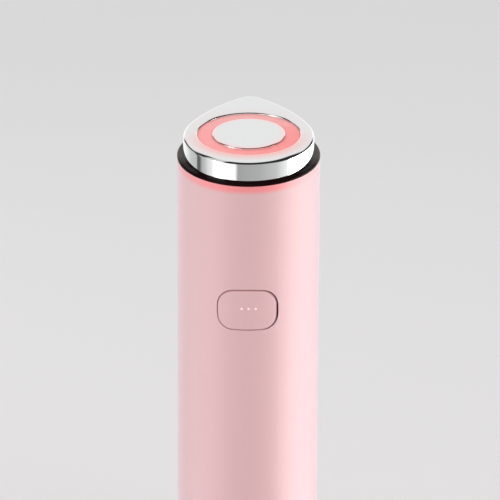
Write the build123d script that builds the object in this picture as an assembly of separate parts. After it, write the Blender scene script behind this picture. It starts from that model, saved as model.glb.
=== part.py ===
from build123d import *
import os
from math import atan2, cos, pi, radians, sin, sqrt

# A hand-held facial toning device: a pink handle that ends in a slanted chrome electrode head.
# Millimetres, +Z up. The origin is on the axis of the handle's round front, in the plane of its flat base.
# The button faces -Y, and the head's drop-shaped face climbs towards a soft ridge at the back, at +Y.
# The head is clamped onto the handle's rim by the inner frame, which the bottom cap's screws pull down.

# ---- Handle ----
handle_radius = 18.0
flank_start = radians(23)  # where a flank leaves the round front, behind the widest place
flank_radius = 41.0  # of the two bowed flanks that run back to the ridge
ridge_radius = 5.2
wall = 2.4
face_height = 120.8  # of the head's face, on the axis
face_tilt = radians(15.7)
rail_width = 1.6  # the rail inside the ridge, which keys the inner frame
rail_depth = 1.8

# ---- Head: depths are square to the face ----
band_inset = 1.5  # from the handle's outline to the chrome band
band_height = 4.6
band_wall = 1.0
face_wall = 1.2
face_land = 3.6  # chrome between the light ring and the band
band_edge = 0.5
band_foot = 0.15
recess_edge = 0.35
disc_edge = 0.35
collar_height = 0.65
collar_edge = 0.25
ring_up = 0.55  # from the handle's axis up the face to the ring's axis
ring_width = 3.6  # of the light ring that shows
ring_recess = 0.5
ring_wall = 1.2
ring_flange = 1.0  # under the electrode's face
light_gap = 2.8  # from the light ring down to the LED board
carrier_wall = 1.4
carrier_floor = 1.5
contact_radius = 1.0
nut_height = 2.2

# ---- Button ----
button_height = 79.3
button_width = 14.7
button_length = 10.1
button_arch = 0.4  # how far its upper and lower sides bow out
button_corner = 3.8
button_edge = 0.35
side_gap = 0.27
end_gap = 0.12
opening_aside = 0.17  # the button sits low and to the left in its opening
opening_above = 0.07
button_travel = 0.4
button_skin = 1.4
button_side = 1.0
button_flange = 1.2
flange_wall = 1.0
window_pitch = 1.74
window_radius = 0.28
window_aside = 0.45  # the row of windows sits a little to one side
window_above = 0.4
guide_half_height = 0.56
switch_below = 2.6  # from the button's middle down to its switch
switch_width = 4.2
switch_length = 3.2
switch_height = 2.5
plunger_radius = 0.8

# ---- Boards ----
board_depth = 8.8  # from the handle's front to the main board
board_wall = 1.2
board_half_width = 10.0
board_bottom = 3.4
board_screw_inset = 2.5
board_screw_up = 14.6
board_screw_down = 10.0
led_board_wall = 1.0
led_count = 10
led_side = 2.0
led_height = 0.8
lamp_width = 1.0  # each of the three indicators
lamp_length = 0.6
lamp_height = 0.5
cable_half_width = 4.0
cable_wall = 0.2
cable_lap = 6.0  # the length soldered to the main board
chip_count = 3
chip_side = 5.0
chip_height = 0.9
chip_aside = 4.0
chip_pitch = 10.0
chip_up = 22.0
connector_width = 6.0
connector_length = 4.0
connector_height = 3.5
connector_up = 11.0
beeper_radius = 4.5
beeper_height = 1.9
beeper_below = 18.5  # the button's middle
beeper_hole = 0.8

# ---- Inner frame ----
frame_gap = 0.25
plate = 1.5
spine_half_width = 11.0
spine_wall = 1.4
frame_bottom = 10.0
head_depth = 15.0  # from the face's height on the axis down to the frame's top
board_top_gap = 6.0
head_screw_inset = 7.5
head_screw_y = 4.0
cap_screw_inset = 8.0
battery_radius = 7.0
battery_length = 50.0
battery_crimp = 0.4
terminal_radius = 3.0
battery_pad_wall = 1.2
saddle_share = (0.25, 0.75)  # where the two saddles hold the cell, along its length
motor_radius = 3.0
motor_length = 12.0
motor_collar = 1.6
holder_length = 9.6
shaft_radius = 0.5
weight_radius = 2.8
weight_length = 4.0
weight_headroom = 7.5  # from the weight up to the frame's top plate

# ---- Bottom ----
cap_height = 5.0
cap_floor = 3.0
cap_edge = 1.4
cap_edge_step = 0.5  # of the two narrower bevels that soften it
plug_length = 4.5
plug_wall = 1.2
seal_height = 0.6
seal_inset = 0.4
socket_width = 8.94
socket_height = 3.26
socket_length = 7.3
socket_set_back = 1.0  # of its mouth, inside the base
socket_skin = 0.35
tongue_width = 6.7
tongue_set_back = 1.0

# ---- Screws ----
small_shank = 0.8
small_head = 1.5
small_head_height = 0.9
frame_shank = 1.1
frame_head = 2.0
frame_head_height = 1.4
frame_bite = 2.8  # of the head's screws in the carrier

# ---- Fits ----
slip = 0.1  # between pieces that are pushed together
hair = 0.05  # running and screw clearance

# ---- Sizes that follow ----
flank_reach = flank_radius - handle_radius
flank_x = -flank_reach * cos(flank_start)  # of the right flank's centre
flank_y = -flank_reach * sin(flank_start)
ridge_y = flank_y + sqrt((flank_radius - ridge_radius) ** 2 - flank_x**2)
flank_end = atan2(ridge_y - flank_y, -flank_x)
ring_radius = handle_radius - band_inset - face_land
disc_radius = ring_radius - ring_width
bore_radius = handle_radius - wall
frame_inset = wall + frame_gap
rim_depth = band_height + collar_height
flange_bottom = ring_recess + 2 * ring_wall
led_board_top = flange_bottom + light_gap
led_board_bottom = led_board_top + led_board_wall
carrier_bottom = led_board_bottom + carrier_floor
led_board_radius = ring_radius - ring_flange / 2
contact_y = ring_radius + ring_flange + 2.4 * contact_radius  # from the ring's axis up the face
above_head = face_height + handle_radius
frame_top = face_height - head_depth
shell_bottom = cap_height + seal_height
plug_top = cap_height + plug_length
board_front = board_depth - handle_radius
spine_front = board_front + board_wall
spine_back = spine_front + spine_wall
board_top = frame_top - board_top_gap
battery_bottom = frame_bottom + plate
battery_top = battery_bottom + battery_length
cell_y = spine_back + battery_radius + slip
motor_bottom = frame_top - plate - weight_headroom - weight_length - 2 * shaft_radius - motor_length
motor_top = motor_bottom + motor_length
weight_bottom = motor_top + 2 * shaft_radius
switch_z = button_height - switch_below
switch_front = board_front - switch_height
plunger_front = switch_front - 2 * button_travel
window_z = button_height + window_above
window_xs = [window_aside + step * window_pitch for step in (-1, 0, 1)]
skin_radius = handle_radius - button_skin
guide_back = board_front - lamp_height - 2.5 * button_travel
socket_y = board_front - socket_height / 2
socket_top = socket_set_back + socket_length

STAND = (Align.CENTER, Align.CENTER, Align.MIN)
BEYOND = 200.0  # longer than anything it cuts

face = Plane(
    origin=(0, 0, face_height),
    x_dir=(1, 0, 0),
    z_dir=(0, -sin(face_tilt), cos(face_tilt)),
)


# ---- Shapes that repeat ----
def outline(inset):
    """The handle's plan, moved inwards: a round front whose bowed flanks run back into a rounded ridge."""

    def arc(x, y, radius, first, last):
        points = []
        for turn in (first, (first + last) / 2, last):
            points.append((x + (radius - inset) * cos(turn), y + (radius - inset) * sin(turn)))
        return ThreePointArc(*points)

    front = arc(0, 0, handle_radius, -pi - flank_start, flank_start)
    right = arc(flank_x, flank_y, flank_radius, flank_start, flank_end)
    ridge = arc(0, ridge_y, ridge_radius, flank_end, pi - flank_end)
    left = arc(-flank_x, flank_y, flank_radius, pi - flank_end, pi - flank_start)
    return make_face([front, right, ridge, left])


def column(inset, bottom, top):
    """An upright prism of the plan between two heights."""
    return Pos(0, 0, bottom) * extrude(outline(inset), top - bottom, dir=(0, 0, 1))


def cut_slanting(solid, depth):
    """Cuts off what rises above the plane that lies this deep under the face."""
    return solid - face * Pos(0, 0, -depth) * Box(BEYOND, BEYOND, BEYOND, align=STAND)


def slanting_column(inset, top_depth, bottom_depth):
    """A prism of the plan between two planes parallel to the face."""
    slab = face * Pos(0, 0, -bottom_depth) * Box(BEYOND, BEYOND, bottom_depth - top_depth, align=STAND)
    return column(inset, frame_top, above_head) & slab


def disc(radius, top_depth, bottom_depth, y=0.0):
    """A cylinder square to the face, between two depths, on the ring's axis or further up the face."""
    return face * Pos(0, ring_up + y, -bottom_depth) * Cylinder(radius, bottom_depth - top_depth, align=STAND)


def rod(radius, bottom, top, x=0.0, y=0.0):
    """An upright cylinder between two heights."""
    return Pos(x, y, bottom) * Cylinder(radius, top - bottom, align=STAND)


def level_rod(radius, front, back, x, z):
    """A cylinder along Y, between its front and its back."""
    return Pos(x, front, z) * Rot(-90, 0, 0) * Cylinder(radius, back - front, align=STAND)


def block(x_size, front, back, bottom, top, x=0.0):
    """A box centred on x, between two places along Y and two heights."""
    return Pos(x, (front + back) / 2, bottom) * Box(x_size, back - front, top - bottom, align=STAND)


def joined(solids):
    """One part that holds all these solids."""
    return Part() + list(solids)


def rim_edges(solid, depth):
    """The edges that lie in the plane this deep under the face."""
    picked = []
    for edge in solid.edges():
        ends = [face.to_local_coords(edge @ share).Z for share in (0, 0.5, 1)]
        if all(abs(z + depth) < hair for z in ends):
            picked.append(edge)
    return picked


def in_wall(radius):
    """A cylinder on the handle's axis, as high as the button with its flange."""
    return rod(radius, button_height - button_length, button_height + button_length)


def upright_screw(x, y, bottom, length):
    """A frame screw that is driven upwards, with a slot in its head."""
    shoulder = bottom + frame_head_height
    slot = block(1.7 * frame_head, y - frame_shank / 4, y + frame_shank / 4, bottom, bottom + frame_shank / 2, x)
    head = rod(frame_head, bottom, shoulder, x, y) - slot
    return head + rod(frame_shank, shoulder, shoulder + length, x, y)


# ---- Places ----
head_screw_places = [(side * (handle_radius - head_screw_inset), head_screw_y) for side in (-1, 1)]
cap_screw_places = [(side * (handle_radius - cap_screw_inset), cell_y) for side in (-1, 1)]
board_screw_places = [
    (side * (board_half_width - board_screw_inset), z)
    for side in (-1, 1)
    for z in (board_bottom + board_screw_up, board_top - board_screw_down)
]


# ---- Handle and bottom ----
def rail(grow, bottom, top):
    """The rail that runs up inside the ridge, grown all round for the slots that slide on it."""
    bore_back = ridge_y + ridge_radius - wall
    return block(rail_width + 2 * grow, bore_back - rail_depth - grow, bore_back + hair, bottom, top)


def button_prism(across, up):
    """The button's bowed oblong, grown at its sides and its ends, as a long prism through the front wall."""
    half_width = button_width / 2 + across
    half_length = button_length / 2 + up
    shoulder = half_length - button_arch
    upper = ThreePointArc((half_width, shoulder), (0, half_length), (-half_width, shoulder))
    lower = ThreePointArc((-half_width, -shoulder), (0, -half_length), (half_width, -shoulder))
    profile = make_face([upper, Line(upper @ 1, lower @ 0), lower, Line(lower @ 1, upper @ 0)])
    profile = fillet(profile.vertices(), button_corner + min(across, up))
    front = Plane(origin=(0, 0, button_height), x_dir=(1, 0, 0), z_dir=(0, -1, 0))
    return extrude(front * profile, 2 * handle_radius)


def make_body_shell():
    outside = cut_slanting(column(0, shell_bottom, above_head), rim_depth)
    shell = outside - column(wall, shell_bottom, above_head)
    shell += rail(0, plug_top + slip, frame_top - slip)
    return shell - Pos(opening_aside, 0, opening_above) * button_prism(side_gap, end_gap)


def make_bottom_cap():
    rim = column(0, 0, cap_height)
    rim = chamfer(rim.edges().group_by(Axis.Z)[0], cap_edge)
    rim = chamfer(rim.edges().group_by(Axis.Z)[0], cap_edge_step)
    rim = chamfer(rim.edges().filter_by_position(Axis.Z, cap_edge - hair, cap_edge + hair), cap_edge_step)
    cap = rim + column(wall + slip, cap_height, plug_top)
    cap -= column(wall + slip + plug_wall, cap_floor, plug_top)
    port = RectangleRounded(socket_width + 2 * slip, socket_height + 2 * slip, socket_height / 2)
    cap -= Pos(0, socket_y, 0) * extrude(port, cap_floor)
    for x, y in cap_screw_places:
        cap -= rod(frame_shank + hair, 0, cap_floor, x, y)
        cap -= rod(frame_head + slip, 0, slip + frame_head_height, x, y)
    return cap


def make_bottom_seal():
    return column(seal_inset, cap_height, shell_bottom) - column(wall + slip, cap_height, shell_bottom)


def make_cap_screws():
    length = frame_bottom - frame_head_height - 2 * slip
    return joined(upright_screw(x, y, slip, length) for x, y in cap_screw_places)


# ---- Head ----
def make_collar_ring():
    ring = slanting_column(0, band_height, rim_depth)
    ring = chamfer(rim_edges(ring, band_height), collar_edge)
    return ring - slanting_column(wall, band_height, rim_depth)


def make_outer_electrode():
    cap = slanting_column(band_inset, 0, band_height)
    cap = chamfer(rim_edges(cap, 0), band_edge)
    cap = chamfer(rim_edges(cap, band_height), band_foot)
    cap -= slanting_column(band_inset + band_wall, face_wall, band_height)
    cap -= disc(ring_radius, 0, face_wall)
    mouth = [edge for edge in rim_edges(cap, 0) if edge.geom_type == GeomType.CIRCLE]
    return chamfer(mouth, recess_edge)


def make_head_light_ring():
    ring = disc(ring_radius - hair, ring_recess, flange_bottom)
    ring += disc(ring_radius + ring_flange, face_wall, flange_bottom)
    ring -= disc(disc_radius + hair, ring_recess, face_wall)
    return ring - disc(disc_radius - ring_flange + hair, ring_recess, flange_bottom)


def make_centre_electrode():
    top = disc(disc_radius, 0, face_wall)
    top = chamfer(rim_edges(top, 0), disc_edge)
    hub = disc(disc_radius - ring_flange, face_wall, flange_bottom)
    return top + hub + disc(frame_shank, flange_bottom, carrier_bottom + 1.5 * nut_height)


def make_electrode_nut():
    hexagon = RegularPolygon(2.5 * frame_shank, 6, major_radius=False)
    nut = face * Pos(0, ring_up, -carrier_bottom - nut_height) * extrude(hexagon, nut_height)
    return nut - disc(frame_shank + hair, carrier_bottom, carrier_bottom + nut_height)


def make_electrode_contact():
    barrel = disc(contact_radius, flange_bottom, carrier_bottom + contact_radius, contact_y)
    return barrel + disc(contact_radius / 2, face_wall, flange_bottom, contact_y)


def make_head_carrier():
    inside = band_inset + band_wall + slip + carrier_wall
    carrier = cut_slanting(column(frame_inset, frame_top, above_head), face_wall)
    bosses = joined(rod(frame_head + slip, frame_top, face_height, x, y) for x, y in head_screw_places)
    carrier -= cut_slanting(column(inside, frame_top, above_head), carrier_bottom) - bosses
    carrier -= disc(ring_radius + ring_flange + hair, face_wall, flange_bottom)
    carrier -= disc(led_board_radius, flange_bottom, led_board_bottom)
    carrier -= disc(frame_shank + slip, led_board_bottom, carrier_bottom)
    carrier -= disc(contact_radius + hair, face_wall, carrier_bottom + contact_radius + slip, contact_y)
    for x, y in head_screw_places:
        carrier -= rod(frame_shank, frame_top, frame_top + frame_bite + slip, x, y)
    return carrier - cable_way(frame_top, face_height)


def make_led_board():
    board = disc(led_board_radius - slip, led_board_top, led_board_bottom)
    return board - disc(frame_shank + slip, led_board_top, led_board_bottom)


def make_head_leds():
    board_face = face * Pos(0, ring_up, -led_board_top)
    circle = PolarLocations((ring_radius + disc_radius) / 2, led_count)
    return joined(board_face * spot * Box(led_side, led_side, led_height, align=STAND) for spot in circle)


def make_head_screws():
    bottom = frame_top - plate - frame_head_height
    return joined(upright_screw(x, y, bottom, plate + frame_bite) for x, y in head_screw_places)


# ---- Boards ----
def cable_way(bottom, top):
    """The flat cable's way through a wall, wider than the cable all round."""
    front = board_front - cable_wall - slip
    return block(2 * (cable_half_width + slip), front, board_front + slip, bottom, top)


def make_flex_cable():
    front = board_front - cable_wall
    strip = block(2 * cable_half_width, front, board_front, board_top - cable_lap, face_height)
    return cut_slanting(strip, led_board_bottom)


def make_main_board():
    board = block(2 * board_half_width, board_front, spine_front, board_bottom, board_top)
    for x, z in board_screw_places:
        board -= level_rod(small_shank + hair, board_front, spine_front, x, z)
    return board


def make_board_screws():
    screws = Part()
    for x, z in board_screw_places:
        screws += level_rod(small_head, board_front - small_head_height, board_front, x, z)
        screws += level_rod(small_shank, board_front, spine_back, x, z)
    return screws


def on_board(width, length, height, z, x=0.0):
    """A component that stands on the main board's front."""
    return block(width, board_front - height, board_front, z - length / 2, z + length / 2, x)


def make_board_chips():
    chips = Part()
    for number in range(chip_count):
        side = -1 if number % 2 else 1
        z = board_bottom + chip_up + number * chip_pitch
        chips += on_board(chip_side, chip_side, chip_height, z, side * chip_aside)
    return chips


def make_battery_connector():
    z = board_bottom + connector_up
    housing = on_board(connector_width, connector_length, connector_height, z)
    mouth = on_board(connector_width - plate, connector_length - plate, connector_height, z)
    return housing - Pos(0, -plate / 2, 0) * mouth


def make_beeper():
    z = button_height - beeper_below
    can = level_rod(beeper_radius, board_front - beeper_height, board_front, 0, z)
    return can - level_rod(beeper_hole, board_front - beeper_height, board_front - beeper_height / 2, 0, z)


def make_indicator_leds():
    return joined(on_board(lamp_width, lamp_length, lamp_height, window_z, x) for x in window_xs)


# ---- Inner frame and what it carries ----
def frame_plate(bottom, top):
    """A cross plate of the frame, open in front of the main board and slotted for the rail."""
    plain = column(frame_inset, bottom, top) - block(BEYOND, -BEYOND, spine_front, bottom, top)
    return plain - rail(slip, bottom, top)


def make_inner_frame():
    frame = block(2 * spine_half_width, spine_front, spine_back, frame_bottom, frame_top)
    frame += column(frame_inset, frame_top - plate, frame_top) - rail(slip, frame_top - plate, frame_top)
    frame += frame_plate(frame_bottom, battery_bottom)
    frame += frame_plate(battery_top + battery_pad_wall, battery_top + battery_pad_wall + plate)
    for share in saddle_share:
        bottom = battery_bottom + share * battery_length - plate
        behind = block(BEYOND, cell_y + battery_radius / 3, BEYOND, bottom, bottom + 2 * plate)
        frame += frame_plate(bottom, bottom + 2 * plate) - behind
    frame -= rod(battery_radius + slip, battery_bottom, battery_top, 0, cell_y)
    holder_top = motor_bottom + holder_length
    frame += block(3 * motor_radius, spine_back, cell_y + motor_radius / 2, motor_bottom - plate, holder_top)
    frame -= rod(motor_radius + hair, motor_bottom, holder_top, 0, cell_y)
    for x, y in cap_screw_places:
        frame += rod(frame_head + slip, cap_floor, frame_bottom, x, y)
        frame -= rod(frame_shank, cap_floor, frame_bottom, x, y)
    for x, y in head_screw_places:
        frame -= rod(frame_shank + hair, frame_top - plate, frame_top, x, y)
    for x, z in board_screw_places:
        frame -= level_rod(small_shank, spine_front, spine_back, x, z)
    return frame - cable_way(frame_top - plate, frame_top)


def make_battery_cell():
    cell = rod(battery_radius, battery_bottom, battery_top - battery_crimp, 0, cell_y)
    cell = chamfer(cell.edges().filter_by(GeomType.CIRCLE), battery_crimp)
    return cell + rod(terminal_radius, battery_top - battery_crimp, battery_top, 0, cell_y)


def make_battery_pad():
    return rod(battery_radius - slip, battery_top, battery_top + battery_pad_wall, 0, cell_y)


def make_vibration_motor():
    can = rod(motor_radius, motor_bottom, motor_top - shaft_radius, 0, cell_y)
    can += rod(motor_collar, motor_top - shaft_radius, motor_top, 0, cell_y)
    return can - rod(shaft_radius + hair, motor_bottom + motor_length / 2, motor_top, 0, cell_y)


def make_motor_shaft():
    bottom = motor_bottom + motor_length / 2 + slip
    return rod(shaft_radius, bottom, weight_bottom + weight_length, 0, cell_y)


def make_motor_weight():
    top = weight_bottom + weight_length
    whole = rod(weight_radius, weight_bottom, top, 0, cell_y)
    half = whole - block(BEYOND, cell_y + 2 * shaft_radius, BEYOND, weight_bottom, top)
    return half - rod(shaft_radius, weight_bottom, top, 0, cell_y)


# ---- Charging socket ----
def socket_oblong(shrink, bottom, top):
    """The socket's round-ended oblong as an upright prism."""
    width = socket_width - 2 * shrink
    height = socket_height - 2 * shrink
    profile = RectangleRounded(width, height, height / 2 - hair)
    return Pos(0, socket_y, bottom) * extrude(profile, top - bottom)


def make_usb_c_socket():
    mouth = socket_oblong(socket_skin, socket_set_back, socket_top - socket_skin)
    return socket_oblong(0, socket_set_back, socket_top) - mouth


def make_usb_c_tongue():
    front = socket_y - socket_skin
    back = socket_y + socket_skin
    return block(tongue_width, front, back, socket_set_back + tongue_set_back, socket_top - socket_skin)


# ---- Button ----
def make_button_cap():
    crown = button_prism(0, 0) & in_wall(handle_radius)
    outer_rim = [edge for edge in crown.edges() if (edge @ 0.5).Y < -bore_radius]
    crown = chamfer(outer_rim, button_edge)
    flange_outside = bore_radius - slip - hair
    cap = crown + (button_prism(button_flange, button_flange) & in_wall(flange_outside))
    cap -= button_prism(-button_side, -button_side) & in_wall(skin_radius)
    cap -= in_wall(flange_outside - flange_wall)
    cap += level_rod(plunger_radius + slip, -skin_radius - hair, plunger_front, 0, switch_z)
    for x in window_xs:
        cap -= level_rod(window_radius + hair / 2, -handle_radius, -skin_radius + button_side, x, window_z)
    return cap


def make_indicator_light_guide():
    width = window_xs[-1] - window_xs[0] + 5 * window_radius
    bottom = window_z - guide_half_height
    bar = block(width, -skin_radius, guide_back, bottom, bottom + 2 * guide_half_height, window_aside)
    pins = joined(level_rod(window_radius, -handle_radius, -skin_radius + button_side, x, window_z) for x in window_xs)
    return (bar & in_wall(skin_radius - hair)) + (pins & in_wall(handle_radius - hair))


def make_tact_switch():
    middle = switch_z - switch_length / 2
    body = block(switch_width, switch_front, board_front, middle, middle + switch_length)
    return body - level_rod(plunger_radius + hair, switch_front, switch_front + switch_height / 2 + slip, 0, switch_z)


def make_switch_plunger():
    return level_rod(plunger_radius, plunger_front, switch_front + switch_height / 2 - button_travel, 0, switch_z)


MAKERS = {
    "body_shell": make_body_shell,
    "button_cap": make_button_cap,
    "indicator_light_guide": make_indicator_light_guide,
    "collar_ring": make_collar_ring,
    "outer_electrode": make_outer_electrode,
    "head_light_ring": make_head_light_ring,
    "centre_electrode": make_centre_electrode,
    "head_carrier": make_head_carrier,
    "led_board": make_led_board,
    "head_leds": make_head_leds,
    "electrode_nut": make_electrode_nut,
    "electrode_contact": make_electrode_contact,
    "head_screws": make_head_screws,
    "inner_frame": make_inner_frame,
    "main_board": make_main_board,
    "board_screws": make_board_screws,
    "board_chips": make_board_chips,
    "battery_connector": make_battery_connector,
    "beeper": make_beeper,
    "indicator_leds": make_indicator_leds,
    "tact_switch": make_tact_switch,
    "switch_plunger": make_switch_plunger,
    "flex_cable": make_flex_cable,
    "battery_cell": make_battery_cell,
    "battery_pad": make_battery_pad,
    "vibration_motor": make_vibration_motor,
    "motor_shaft": make_motor_shaft,
    "motor_weight": make_motor_weight,
    "usb_c_socket": make_usb_c_socket,
    "usb_c_tongue": make_usb_c_tongue,
    "bottom_seal": make_bottom_seal,
    "bottom_cap": make_bottom_cap,
    "cap_screws": make_cap_screws,
}

os.makedirs("parts", exist_ok=True)
for name, make in MAKERS.items():
    export_step(make(), f"parts/{name}.step")
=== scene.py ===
from math import atan2, cos, pi, radians, sin, sqrt, tan

import bpy
from mathutils import Matrix, Vector


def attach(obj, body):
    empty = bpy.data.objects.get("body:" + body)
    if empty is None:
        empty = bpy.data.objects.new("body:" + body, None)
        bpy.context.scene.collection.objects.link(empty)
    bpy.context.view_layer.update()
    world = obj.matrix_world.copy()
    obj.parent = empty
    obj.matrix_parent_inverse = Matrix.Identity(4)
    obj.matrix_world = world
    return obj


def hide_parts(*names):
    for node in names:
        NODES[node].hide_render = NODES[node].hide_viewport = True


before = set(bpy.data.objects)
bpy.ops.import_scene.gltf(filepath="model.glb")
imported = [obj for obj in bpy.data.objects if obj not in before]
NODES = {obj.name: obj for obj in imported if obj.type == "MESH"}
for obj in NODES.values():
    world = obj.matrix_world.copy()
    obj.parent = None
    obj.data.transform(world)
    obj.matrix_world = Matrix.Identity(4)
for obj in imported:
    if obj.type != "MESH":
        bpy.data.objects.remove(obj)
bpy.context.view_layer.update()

# A pink hand-held facial toning device with a slanted chrome electrode head, upright on a pale floor.
# Metres, in the frame of the CAD model: +Z up, -Y to the front, the origin in the plane of the base.
MM = 0.001

# ---- Camera: the view of the photograph, taken as a picture of 500 by 500 pixels ----
PICTURE = 500
SENSOR = 36.0
FOCAL_PIXELS = 2522
CAMERA_AIM = Vector((0, 0, 91.1 * MM))
CAMERA_DISTANCE = 638.7 * MM
CAMERA_PITCH = radians(10.9)
CAMERA_YAW = radians(-1.0)
CAMERA_ROLL = radians(0.21)
PIXELS_ASIDE = 1.7
SIGHT = 50  # how far the camera sees

# ---- The handle's plan and the head, as in the CAD model. Depths are square to the slanted face ----
HANDLE_RADIUS = 18 * MM
FLANK_START = radians(23)
FLANK_RADIUS = 41 * MM
RIDGE_RADIUS = 5.2 * MM
FACE_TILT = radians(15.7)
FACE_CENTRE = Vector((0, 0, 120.8 * MM))
FACE_NORMAL = Vector((0, -sin(FACE_TILT), cos(FACE_TILT)))
FACE_RIGHT = Vector((1, 0, 0))
FACE_UP = Vector((0, cos(FACE_TILT), sin(FACE_TILT)))
FACE_WALL = 1.2 * MM
RING_CENTRE = FACE_CENTRE + 0.55 * MM * FACE_UP
BAND_INSET = 1.5 * MM
BAND_HEIGHT = 4.6 * MM
BAND_WALL = 1.0 * MM
RING_OUTER = 12.9 * MM
RING_INNER = 9.3 * MM
RING_FLANGE = 1.0 * MM
RIM_DEPTH = 5.25 * MM
HUB_DEPTH = 2.9 * MM
STUD_DEPTH = 11.5 * MM
STUD_RADIUS = 1.1 * MM
BUTTON_HEIGHT = 79.3 * MM

# ---- Finer edges than the CAD model's chamfers ----
FACE_ROUND = 0.82 * MM
FACE_SHARE = 0.9  # how far in the face's edge is rounded, as a share of how far down
RECESS_ROUND = 0.5 * MM
DISC_ROUND = 0.5 * MM
FOOT_ROUND = 0.12 * MM
SUPPORT = 0.03 * MM  # from a rounded edge to the loop that keeps the flat beside it flat
ROUND_STEPS = 8
PLAN_STEP = radians(2)
SHARP_FROM = radians(40)  # edges that turn further than this are drawn sharp

# ---- Finishes ----
GRAIN = 0.25 * MM
CLOUD = 10 * MM
# Each ramp has where it starts and ends, and its values at the start and at the end.
# The glow under the handle's rim: by the depth below the rim, along Y and along X
GLOW_BY_DEPTH = (0.9 * MM, 2.3 * MM, 1.0, 0.0)
GLOW_BY_Y = (-18 * MM, 4 * MM, 1.0, 0.3)
GLOW_BY_X = (6 * MM, 14 * MM, 1.0, 0.35)
# The painted shade on the walls of the button's gap: by the distance from the handle's axis
GAP_BY_RADIUS = (HANDLE_RADIUS - 0.5 * MM, HANDLE_RADIUS - 0.1 * MM, 1.0, 0.0)
GAP_REACH = 8 * MM  # how far above and below the button's middle there is shade
# The ring's light on the chrome: by the distance from the ring's axis, the depth below the face and along Y
HALO_OUTSIDE = (RING_OUTER, RING_OUTER + 4.5 * MM, 1.0, 0.0)
HALO_INSIDE = (RING_INNER - 1.8 * MM, RING_INNER, 0.0, 0.45)
HALO_BY_DEPTH = (0.2 * MM, 0.6 * MM, 1.0, 0.0)
HALO_BY_Y = (-11 * MM, 4 * MM, 1.0, 0.12)  # only outside the ring
PLATE_GLOW = 0.08  # the emission where that light is full, outside the ring
DISC_GLOW = 0.3  # and inside it
COLLAR_BY_Y = (-8 * MM, -1 * MM, 0.0, 1.0)  # the painted light from behind in the collar, along Y

# ---- What gloss shows of the studio ----
# Each list has directions, in degrees from the camera's side to the right, and a value for each.
# A list can have 32 of them, as many as a colour ramp has stops.
# The brightness of the walls
WALLS = [
    (-180, 0.90),
    (-150, 1.05),
    (-132, 0.82),
    (-120, 0.62),
    (-103, 0.56),
    (-100, 0.12),
    (-94, 0.13),
    (-89, 0.45),
    (-84, 0.54),
    (-79, 0.64),
    (-75, 0.78),
    (-70, 0.86),
    (-66, 0.95),
    (-62, 1.20),
    (-57, 3.60),
    (-48, 2.60),
    (-40, 1.20),
    (-22, 1.10),
    (-18, 0.40),
    (20, 0.46),
    (50, 0.60),
    (54, 0.66),
    (60, 0.79),
    (66, 0.88),
    (73, 1.00),
    (78, 8.00),
    (90, 7.00),
    (110, 6.00),
    (130, 2.90),
    (150, 2.20),
    (165, 0.90),
    (180, 0.90),
]
# What two low panels add to the walls' brightness
LOW_PANELS = [
    (-180, 0.00),
    (-110, 0.00),
    (-100, 4.00),
    (-76, 4.00),
    (-66, 0.00),
    (50, 0.00),
    (57, 10.00),
    (75, 10.00),
    (82, 0.00),
    (180, 0.00),
]
# How many degrees above the horizon the walls end
WALL_TOPS = [
    (-180, -3),
    (-150, -3),
    (-135, 12),
    (30, 12),
    (58, 1),
    (180, 1),
]
# The brightness over the walls
RAISED = [
    (-180, 1.10),
    (-152, 1.10),
    (-138, 0.03),
    (-80, 0.03),
    (-72, 0.62),
    (-46, 0.62),
    (-38, 0.03),
    (140, 0.03),
    (154, 1.10),
    (180, 1.10),
]
# Where one zone fades into the next, as the Z of a direction of length 1
FLOOR_EDGE = (-sin(radians(50)), -sin(radians(35)))
LOW_EDGE = (-0.28, -0.20)
TOP_SOFTNESS = 0.08  # from a wall's top upwards
HIGH_EDGE = (0.50, 0.60)
CEILING_EDGE = (0.86, 0.93)
BACK_EDGE = (0.05, 0.35)  # its Y instead, into the half behind the object
PALE_LEVEL = 0.87  # the brightness of the ceiling and of the wall high up behind the object
FLOOR_LEVEL = 0.80  # the brightness of the floor, and of the background that the camera sees
AMBIENT = 0.85  # the plain light on everything but gloss

# ---- Lamps and floor ----
LAMP_HEIGHT = 0.45
LAMP_DISTANCE = 0.9
LAMP_SIZE = 0.7
LAMP_AIM = Vector((0, 0, 0.08))
FLOOR_HALF = 4.0


def make_camera():
    """The camera of the photograph, a long lens a little above the object."""
    level = Vector((sin(CAMERA_YAW), cos(CAMERA_YAW), 0))
    aside = Vector((cos(CAMERA_YAW), -sin(CAMERA_YAW), 0))
    ahead = level * cos(CAMERA_PITCH) - Vector((0, 0, sin(CAMERA_PITCH)))
    above = level * sin(CAMERA_PITCH) + Vector((0, 0, cos(CAMERA_PITCH)))
    right = aside * cos(CAMERA_ROLL) + above * sin(CAMERA_ROLL)
    up = above * cos(CAMERA_ROLL) - aside * sin(CAMERA_ROLL)
    data = bpy.data.cameras.new("camera")
    data.sensor_width = SENSOR
    data.lens = FOCAL_PIXELS * SENSOR / PICTURE
    data.shift_x = PIXELS_ASIDE / PICTURE
    data.clip_end = SIGHT
    camera = bpy.data.objects.new("camera", data)
    turn = Matrix((right, up, -ahead)).transposed().to_4x4()
    camera.matrix_world = Matrix.Translation(CAMERA_AIM - ahead * CAMERA_DISTANCE) @ turn
    bpy.context.scene.collection.objects.link(camera)
    bpy.context.scene.camera = camera


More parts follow.
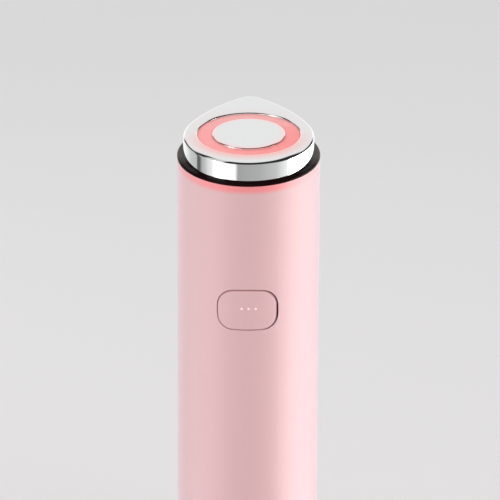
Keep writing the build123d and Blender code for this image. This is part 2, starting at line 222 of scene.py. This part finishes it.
# ---- Node helpers ----
class Graph:
    """A node tree that is built one node at a time."""

    def __init__(self, tree):
        self.tree = tree
        tree.nodes.clear()

    def feed(self, socket, value):
        """Sets a socket to a value, or links another node's output to it."""
        if isinstance(value, bpy.types.NodeSocket):
            self.tree.links.new(value, socket)
        else:
            socket.default_value = value

    def add(self, kind, inputs=None, **settings):
        """Adds a node, with its settings and with what each of its sockets is fed."""
        node = self.tree.nodes.new(kind)
        for name, value in settings.items():
            setattr(node, name, value)
        for name, value in (inputs or {}).items():
            self.feed(node.inputs[name], value)
        return node

    def math(self, operation, first, second=0.0, third=0.0):
        inputs = {0: first, 1: second, 2: third}
        return self.add("ShaderNodeMath", inputs, operation=operation).outputs[0]

    def vector(self, operation, first, second):
        """The outputs of an operation on two vectors."""
        inputs = {0: first, 1: tuple(second)}
        return self.add("ShaderNodeVectorMath", inputs, operation=operation).outputs

    def length(self, vector):
        return self.add("ShaderNodeVectorMath", {0: vector}, operation="LENGTH").outputs["Value"]

    def axes(self, vector):
        """The outputs X, Y and Z of a vector."""
        return self.add("ShaderNodeSeparateXYZ", {"Vector": vector}).outputs

    def ramp_between(self, value, low, high, start=0.0, end=1.0):
        """A smooth step of value between low and high."""
        inputs = {"Value": value, "From Min": low, "From Max": high, "To Min": start, "To Max": end}
        return self.add("ShaderNodeMapRange", inputs, interpolation_type="SMOOTHSTEP").outputs["Result"]

    def mix(self, factor, first, second):
        """A colour between first and second."""
        node = self.add("ShaderNodeMix", data_type="RGBA")
        for number, value in ((0, factor), (6, first), (7, second)):
            self.feed(node.inputs[number], value)
        return node.outputs[2]

    def blend(self, factor, first, second):
        """A number between first and second."""
        inputs = {"Factor": factor, "A": first, "B": second}
        return self.add("ShaderNodeMix", inputs, data_type="FLOAT").outputs["Result"]

    def place(self):
        return self.add("ShaderNodeTexCoord").outputs["Object"]

    def noise(self, size, detail=3.0):
        """Noise with features of about this size."""
        inputs = {"Vector": self.place(), "Scale": 1 / size, "Detail": detail}
        return self.add("ShaderNodeTexNoise", inputs).outputs["Fac"]

    def uneven(self, noise, least, most):
        """A number between least and most that follows a noise."""
        return self.ramp_between(noise, 0.2, 0.8, least, most)

    def bump(self, height, strength, distance):
        inputs = {"Height": height, "Strength": strength, "Distance": distance}
        return self.add("ShaderNodeBump", inputs).outputs["Normal"]

    def surface(self, shader, inputs, output="ShaderNodeOutputMaterial"):
        """Adds a shader and makes it the tree's surface."""
        self.add(output, {"Surface": self.add(shader, inputs).outputs[0]})


def rgba(red, green, blue):
    return (red, green, blue, 1.0)


def material(name):
    made = bpy.data.materials.new(name)
    made.use_nodes = True
    return made, Graph(made.node_tree)


# ---- Fine metal pieces ----
def plan(inset):
    """Points of the handle's plan, moved inwards: round front, bowed flank, ridge and the other flank."""
    reach = FLANK_RADIUS - HANDLE_RADIUS
    right = Vector((-reach * cos(FLANK_START), -reach * sin(FLANK_START)))
    left = Vector((-right.x, right.y))
    ridge = Vector((0, right.y + sqrt((FLANK_RADIUS - RIDGE_RADIUS) ** 2 - right.x**2)))
    end = atan2(ridge.y - right.y, -right.x)
    points = []
    for centre, radius, first, last in (
        (Vector((0, 0)), HANDLE_RADIUS, -pi - FLANK_START, FLANK_START),
        (right, FLANK_RADIUS, FLANK_START, end),
        (ridge, RIDGE_RADIUS, end, pi - end),
        (left, FLANK_RADIUS, pi - end, pi - FLANK_START),
    ):
        steps = round((last - first) / PLAN_STEP)
        turns = [first + (last - first) * step / steps for step in range(steps)]
        points += [centre + (radius - inset) * Vector((cos(turn), sin(turn))) for turn in turns]
    return points


def upright_loop(inset, depth):
    """The plan's outline where an upright wall meets the plane this deep under the face."""
    plane = FACE_CENTRE.z - depth / cos(FACE_TILT)
    return [Vector((point.x, point.y, plane + point.y * tan(FACE_TILT))) for point in plan(inset)]


def round_loop(radius, depth):
    """A circle square to the face, with its points in line with those of the upright loops."""
    centre = RING_CENTRE - depth * FACE_NORMAL
    points = []
    for point in plan(BAND_INSET):
        spoke = Vector((point.x, point.y / cos(FACE_TILT))).normalized()
        points.append(centre + radius * (spoke.x * FACE_RIGHT + spoke.y * FACE_UP))
    return points


def rounding(size, share=1.0):
    """How far in and how far down each step of a rounded edge lies, from its side to its top."""
    turns = [pi / 2 * step / ROUND_STEPS for step in range(ROUND_STEPS + 1)]
    return [(share * size * (1 - cos(turn)), size * (1 - sin(turn))) for turn in turns]


def swept(name, loops, replaced, finish, closed):
    """A chrome piece of strips between loops of points. An open one ends in a point at either end."""
    count = len(loops[0])
    rings = [range(number * count, (number + 1) * count) for number in range(len(loops))]
    points = [point for loop in loops for point in loop]
    pairs = list(zip(rings, rings[1:]))
    if closed:
        pairs.append((rings[-1], rings[0]))
    faces = [
        (first[spot], first[spot - 1], second[spot - 1], second[spot])
        for first, second in pairs
        for spot in range(count)
    ]
    if not closed:
        for ring, turned in ((rings[0], False), (rings[-1], True)):
            centre = len(points)
            points.append(sum((points[spot] for spot in ring), Vector()) / count)
            for spot in range(count):
                edge = (ring[spot - 1], ring[spot])
                faces.append((centre, *(reversed(edge) if turned else edge)))
    mesh = bpy.data.meshes.new(name)
    mesh.from_pydata(points, [], faces)
    mesh.shade_smooth()
    mesh.set_sharp_from_angle(angle=SHARP_FROM)
    mesh.materials.append(finish)
    piece = bpy.data.objects.new(name, mesh)
    bpy.context.scene.collection.objects.link(piece)
    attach(piece, "root")
    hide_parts(replaced)


def chrome_cap(finish):
    """The outer electrode: a slanted plate with a round opening, and the band round its edge."""
    loops = [round_loop(RING_OUTER + RECESS_ROUND + SUPPORT, 0)]
    loops.append(upright_loop(BAND_INSET + FACE_SHARE * FACE_ROUND + SUPPORT, 0))
    for inward, down in reversed(rounding(FACE_ROUND, FACE_SHARE)):
        loops.append(upright_loop(BAND_INSET + inward, down))
    loops.append(upright_loop(BAND_INSET, FACE_ROUND + SUPPORT))
    loops.append(upright_loop(BAND_INSET, BAND_HEIGHT - FOOT_ROUND - SUPPORT))
    for inward, down in rounding(FOOT_ROUND):
        loops.append(upright_loop(BAND_INSET + inward, BAND_HEIGHT - down))
    loops.append(upright_loop(BAND_INSET + BAND_WALL, BAND_HEIGHT))
    loops.append(upright_loop(BAND_INSET + BAND_WALL, FACE_WALL))
    loops.append(round_loop(RING_OUTER, FACE_WALL))
    loops.append(round_loop(RING_OUTER, RECESS_ROUND + SUPPORT))
    for inward, down in rounding(RECESS_ROUND):
        loops.append(round_loop(RING_OUTER + inward, down))
    swept("outer_electrode_plate", loops, "outer_electrode", finish, closed=True)


def chrome_disc(finish):
    """The centre electrode: a disc with a soft edge, its hub and its stud."""
    loops = [round_loop(RING_INNER - DISC_ROUND - SUPPORT, 0)]
    for inward, down in reversed(rounding(DISC_ROUND)):
        loops.append(round_loop(RING_INNER - inward, down))
    loops.append(round_loop(RING_INNER, FACE_WALL))
    loops.append(round_loop(RING_INNER - RING_FLANGE, FACE_WALL))
    loops.append(round_loop(RING_INNER - RING_FLANGE, HUB_DEPTH))
    loops.append(round_loop(STUD_RADIUS, HUB_DEPTH))
    loops.append(round_loop(STUD_RADIUS, STUD_DEPTH))
    swept("centre_electrode_disc", loops, "centre_electrode", finish, closed=False)


# ---- Finishes ----
def moulded(name, colour, roughness, tone=0.06, metallic=0.0, coat=0.0, shine=0.5, lit=0.0):
    """A plain moulded, plated or coated surface with a fine grain and a slight change of tone."""
    made, graph = material(name)
    fine = graph.noise(GRAIN)
    broad = graph.noise(CLOUD)
    dark = rgba(*(channel * (1 - tone) for channel in colour))
    light = rgba(*(min(1.0, channel * (1 + tone)) for channel in colour))
    inputs = {
        "Base Color": graph.mix(broad, dark, light),
        "Roughness": graph.uneven(fine, roughness * 0.85, roughness * 1.15),
        "Metallic": metallic,
        "Coat Weight": coat,
        "Specular IOR Level": shine,
        "Emission Color": light,
        "Emission Strength": lit,
        "Normal": graph.bump(fine, 0.15, 0.02 * MM),
    }
    graph.surface("ShaderNodeBsdfPrincipled", inputs)
    return made


def depth_below(graph, place, depth):
    """How far a point lies below the plane that is this deep under the head's face."""
    plane = FACE_CENTRE.dot(FACE_NORMAL) - depth
    return graph.math("SUBTRACT", plane, graph.vector("DOT_PRODUCT", place, FACE_NORMAL)["Value"])


def radius_on_face(graph, place):
    """The distance from the axis of the ring, which is square to the head's face."""
    shifted = graph.vector("SUBTRACT", place, RING_CENTRE)["Vector"]
    return graph.length(graph.vector("CROSS_PRODUCT", shifted, FACE_NORMAL)["Vector"])


def rim_glow(graph, place):
    """How strongly the handle glows: most at the front of its rim, and less on the right."""
    axes = graph.axes(place)
    high = graph.ramp_between(depth_below(graph, place, RIM_DEPTH), *GLOW_BY_DEPTH)
    front = graph.ramp_between(axes["Y"], *GLOW_BY_Y)
    left = graph.ramp_between(axes["X"], *GLOW_BY_X)
    return graph.math("MULTIPLY", high, graph.math("MULTIPLY", front, left))


def button_gap_shade(graph, place):
    """How much painted shade the handle gets: one on the walls of the gap round the button, and nothing on
    the handle's outside.
    """
    radius = graph.length(graph.vector("MULTIPLY", place, (1, 1, 0))["Vector"])
    inner = graph.ramp_between(radius, *GAP_BY_RADIUS)
    away = graph.math("ABSOLUTE", graph.math("SUBTRACT", graph.axes(place)["Z"], BUTTON_HEIGHT))
    return graph.math("MULTIPLY", inner, graph.math("LESS_THAN", away, GAP_REACH))


def pink_handle():
    """Satin pearl plastic, which glows where the head's light leaks into it under the rim, and has painted
    shade in the gap round the button.
    """
    made, graph = material("pearl_pink")
    place = graph.place()
    glow = rim_glow(graph, place)
    cloud = graph.noise(9 * MM, 2.0)
    fine = graph.noise(0.12 * MM, 2.0)
    pearl = graph.mix(cloud, rgba(0.745, 0.450, 0.463), rgba(0.765, 0.466, 0.479))
    skin = graph.mix(glow, pearl, rgba(0.78, 0.24, 0.25))
    inputs = {
        # Painted shade: the walls of the button's gap turn dark red.
        "Base Color": graph.mix(button_gap_shade(graph, place), skin, rgba(0.45, 0.03, 0.03)),
        "Roughness": graph.uneven(fine, 0.46, 0.52),
        "Specular IOR Level": 1.0,
        "Sheen Weight": 1.0,
        "Sheen Roughness": 0.5,
        "Sheen Tint": rgba(1.0, 0.90, 1.0),
        "Emission Color": rgba(1.0, 0.12, 0.13),
        "Emission Strength": graph.math("MULTIPLY", glow, 0.14),
        "Normal": graph.bump(fine, 0.05, 0.01 * MM),
    }
    graph.surface("ShaderNodeBsdfPrincipled", inputs)
    return made


def smoked_collar_painted_light():
    """Smoked plastic, nearly black at the front, and paler at the sides from painted light from behind."""
    made, graph = material("smoked_collar_painted_light")
    # Painted light: the colour turns paler towards the back of the collar.
    behind = graph.ramp_between(graph.axes(graph.place())["Y"], *COLLAR_BY_Y)
    fine = graph.noise(GRAIN)
    inputs = {
        "Base Color": graph.mix(behind, rgba(0.010, 0.003, 0.003), rgba(0.095, 0.082, 0.075)),
        "Roughness": graph.uneven(fine, 0.15, 0.21),
        "Specular IOR Level": 0.04,
        "Normal": graph.bump(fine, 0.03, 0.02 * MM),
    }
    graph.surface("ShaderNodeBsdfPrincipled", inputs)
    return made


def chrome():
    """Polished chrome plate, with faint wipe marks and the ring's light on it next to the ring."""
    made, graph = material("polished_chrome")
    place = graph.place()
    reach = radius_on_face(graph, place)
    front = graph.ramp_between(graph.axes(place)["Y"], *HALO_BY_Y)
    outside = graph.math("MULTIPLY", graph.ramp_between(reach, *HALO_OUTSIDE), front)
    inside = graph.ramp_between(reach, *HALO_INSIDE)
    beyond = graph.math("GREATER_THAN", reach, (RING_INNER + RING_OUTER) / 2)
    shallow = graph.ramp_between(depth_below(graph, place, 0.0), *HALO_BY_DEPTH)
    near = graph.math("MULTIPLY", graph.blend(beyond, inside, outside), shallow)
    wipe = graph.noise(6 * MM, 4.0)
    fine = graph.noise(0.2 * MM, 2.0)
    inputs = {
        "Base Color": graph.mix(near, rgba(0.90, 0.905, 0.91), rgba(0.95, 0.58, 0.55)),
        "Metallic": 1.0,
        "Emission Color": rgba(1.0, 0.30, 0.27),
        "Emission Strength": graph.math("MULTIPLY", near, graph.blend(beyond, DISC_GLOW, PLATE_GLOW)),
        "Roughness": graph.ramp_between(wipe, 0.3, 0.8, 0.035, 0.085),
        "Normal": graph.bump(fine, 0.02, 0.01 * MM),
    }
    graph.surface("ShaderNodeBsdfPrincipled", inputs)
    return made


def glowing_ring():
    """Translucent ring lit pink from beneath: deeper pink on the right, and paler towards the back."""
    made, graph = material("glowing_ring")
    axes = graph.axes(graph.place())
    right = graph.ramp_between(axes["X"], -RING_OUTER, RING_OUTER)
    back = graph.ramp_between(axes["Y"], 0.0, RING_OUTER)
    cloud = graph.noise(2 * MM, 2.0)
    pink = graph.mix(right, rgba(0.84, 0.29, 0.285), rgba(0.84, 0.20, 0.20))
    pink = graph.mix(back, pink, rgba(0.74, 0.36, 0.35))
    streaks = graph.ramp_between(cloud, 0.3, 0.7, 0.0, 0.15)
    inputs = {
        "Base Color": graph.mix(streaks, pink, rgba(0.90, 0.40, 0.39)),
        "Roughness": 0.35,
        "Emission Color": rgba(1.0, 0.36, 0.35),
        "Emission Strength": graph.ramp_between(cloud, 0.0, 1.0, 0.14, 0.18),
        "Normal": graph.bump(cloud, 0.05, 0.02 * MM),
    }
    graph.surface("ShaderNodeBsdfPrincipled", inputs)
    return made


def dress_nodes(chromed):
    """Gives every node of the model its finish."""
    pink = pink_handle()
    steel = moulded("plated_steel", (0.62, 0.62, 0.64), 0.25, metallic=1.0)
    gold = moulded("plated_brass", (0.80, 0.62, 0.28), 0.25, metallic=1.0)
    white = moulded("white_moulding", (0.80, 0.80, 0.78), 0.45)
    green = moulded("solder_mask", (0.03, 0.20, 0.10), 0.30, tone=0.2)
    black = moulded("black_moulding", (0.03, 0.03, 0.033), 0.45)
    rubber = moulded("dark_rubber", (0.04, 0.035, 0.037), 0.65)
    lamp = moulded("lamp_lens", (0.95, 0.90, 0.82), 0.2, coat=0.5)
    finishes = {
        "body_shell": pink,
        "button_cap": pink,
        "bottom_cap": pink,
        "indicator_light_guide": moulded("clear_guide", (0.95, 0.70, 0.72), 0.4, shine=0.3, lit=0.35),
        "collar_ring": smoked_collar_painted_light(),
        "outer_electrode": chromed,
        "head_light_ring": glowing_ring(),
        "centre_electrode": chromed,
        "head_carrier": white,
        "inner_frame": white,
        "battery_connector": white,
        "led_board": green,
        "main_board": green,
        "head_leds": lamp,
        "indicator_leds": lamp,
        "electrode_nut": steel,
        "head_screws": steel,
        "board_screws": steel,
        "cap_screws": steel,
        "vibration_motor": steel,
        "motor_shaft": steel,
        "usb_c_socket": steel,
        "electrode_contact": gold,
        "beeper": gold,
        "board_chips": black,
        "tact_switch": black,
        "switch_plunger": black,
        "usb_c_tongue": black,
        "battery_pad": rubber,
        "bottom_seal": rubber,
        "flex_cable": moulded("amber_film", (0.55, 0.28, 0.06), 0.3),
        "battery_cell": moulded("cell_wrap", (0.10, 0.22, 0.50), 0.3),
        "motor_weight": moulded("sintered_weight", (0.33, 0.32, 0.31), 0.4, metallic=1.0),
    }
    for name, finish in finishes.items():
        for slot in NODES[name].material_slots:
            slot.material = finish


# ---- Studio ----
def value_round(graph, azimuth, stops):
    """A value for each direction round the upright, from a list of directions and values."""
    values = [value for _, value in stops]
    low, high = min(values), max(values)
    inputs = {"Value": azimuth, "From Min": radians(-180), "From Max": radians(180)}
    turn = graph.add("ShaderNodeMapRange", inputs).outputs["Result"]
    ramp = graph.add("ShaderNodeValToRGB", {"Fac": turn})
    elements = ramp.color_ramp.elements
    while len(elements) < len(stops):
        elements.new(0.5)
    for element, (degrees, value) in zip(elements, stops):
        share = (value - low) / (high - low)
        element.position = degrees / 360 + 0.5
        element.color = rgba(share, share, share)
    return graph.math("MULTIPLY_ADD", ramp.outputs["Color"], high - low, low)


def studio_gloss(graph):
    """What gloss shows: walls with softboxes, low panels and dark gaps, a pale ceiling and the floor."""
    axes = graph.axes(graph.add("ShaderNodeTexCoord").outputs["Generated"])
    azimuth = graph.math("ARCTAN2", axes["X"], graph.math("MULTIPLY", axes["Y"], -1.0))
    under = graph.ramp_between(axes["Z"], *LOW_EDGE, 1.0, 0.0)
    panels = graph.math("MULTIPLY", under, value_round(graph, azimuth, LOW_PANELS))
    walls = graph.math("ADD", value_round(graph, azimuth, WALLS), panels)
    top = graph.math("SINE", graph.math("RADIANS", value_round(graph, azimuth, WALL_TOPS)))
    behind = graph.ramp_between(axes["Y"], *BACK_EDGE)
    high = graph.ramp_between(axes["Z"], *HIGH_EDGE)
    ceiling = graph.ramp_between(axes["Z"], *CEILING_EDGE)
    pale = graph.math("MAXIMUM", graph.math("MULTIPLY", behind, high), ceiling)
    above = graph.blend(pale, value_round(graph, azimuth, RAISED), PALE_LEVEL)
    rise = graph.ramp_between(axes["Z"], top, graph.math("ADD", top, TOP_SOFTNESS))
    upper = graph.blend(rise, walls, above)
    return graph.blend(graph.ramp_between(axes["Z"], *FLOOR_EDGE), FLOOR_LEVEL, upper)


def studio_world():
    """Plain soft light all round, a plain background for the camera, and the studio's walls for gloss."""
    world = bpy.data.worlds.new("studio")
    world.use_nodes = True
    bpy.context.scene.world = world
    graph = Graph(world.node_tree)
    path = graph.add("ShaderNodeLightPath").outputs
    plain = graph.blend(path["Is Camera Ray"], AMBIENT, FLOOR_LEVEL)
    shown = graph.blend(path["Is Glossy Ray"], plain, studio_gloss(graph))
    graph.surface("ShaderNodeBackground", {"Color": shown, "Strength": 1.0}, "ShaderNodeOutputWorld")


def soft_light(name, azimuth, power):
    """A large soft area light that faces the handle. Gloss shows the world instead."""
    data = bpy.data.lights.new(name, "AREA")
    data.shape = "RECTANGLE"
    data.size = LAMP_SIZE
    data.size_y = LAMP_SIZE
    data.energy = power
    light = bpy.data.objects.new(name, data)
    turn = radians(azimuth)
    place = Vector((sin(turn) * LAMP_DISTANCE, -cos(turn) * LAMP_DISTANCE, LAMP_HEIGHT))
    light.location = place
    light.rotation_euler = (place - LAMP_AIM).to_track_quat("Z", "Y").to_euler()
    light.visible_glossy = False
    bpy.context.scene.collection.objects.link(light)


def make_floor():
    """A wide pale floor."""
    mesh = bpy.data.meshes.new("floor")
    corners = [(x * FLOOR_HALF, y * FLOOR_HALF, 0) for x, y in ((-1, -1), (1, -1), (1, 1), (-1, 1))]
    mesh.from_pydata(corners, [], [(0, 1, 2, 3)])
    floor = bpy.data.objects.new("floor", mesh)
    made, graph = material("floor_paint")
    cloud = graph.noise(0.4)
    colour = graph.mix(cloud, rgba(0.80, 0.79, 0.79), rgba(0.82, 0.81, 0.81))
    graph.surface("ShaderNodeBsdfDiffuse", {"Color": colour})
    mesh.materials.append(made)
    floor.visible_glossy = False
    bpy.context.scene.collection.objects.link(floor)


make_camera()
polished = chrome()
dress_nodes(polished)
chrome_cap(polished)
chrome_disc(polished)
studio_world()
soft_light("left_softbox", -95, 1.65)
soft_light("right_softbox", 45, 1.25)
make_floor()
bpy.context.scene.view_settings.view_transform = "Standard"
